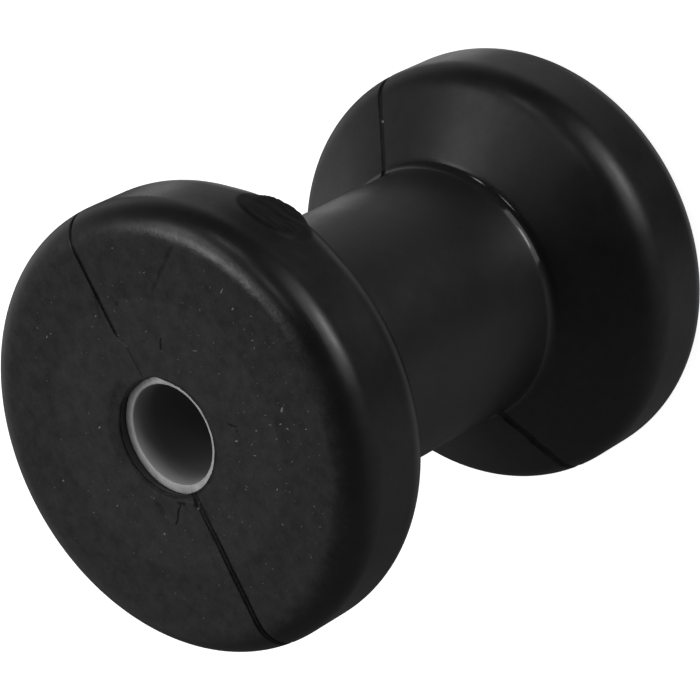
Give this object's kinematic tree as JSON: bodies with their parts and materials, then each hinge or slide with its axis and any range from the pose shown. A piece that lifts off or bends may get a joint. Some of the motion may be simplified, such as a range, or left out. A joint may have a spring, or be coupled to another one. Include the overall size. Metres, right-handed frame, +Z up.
{
  "type": "boat trailer roller",
  "caption": "Spool-shaped rubber keel roller: two wide round flanges with flared inner sides, a straight waist, and a plastic-lined bore for a trailer shaft.",
  "frame": {"origin": "centre of the lower end face, on the axis of the bore", "axes": "+Z up along the bore, from the lower end face to the upper one, which bears the gate's stub on its rim; +X along the mould's parting line on the end faces"},
  "size_m": [0.0762, 0.0762, 0.1016],
  "materials": {
    "rubber": "satin moulded black rubber",
    "liner": "matt extruded grey plastic"
  },
  "bodies": {
    "root": {"roller_body": "rubber", "bore_liner": "liner"}
  },
  "joints": []
}
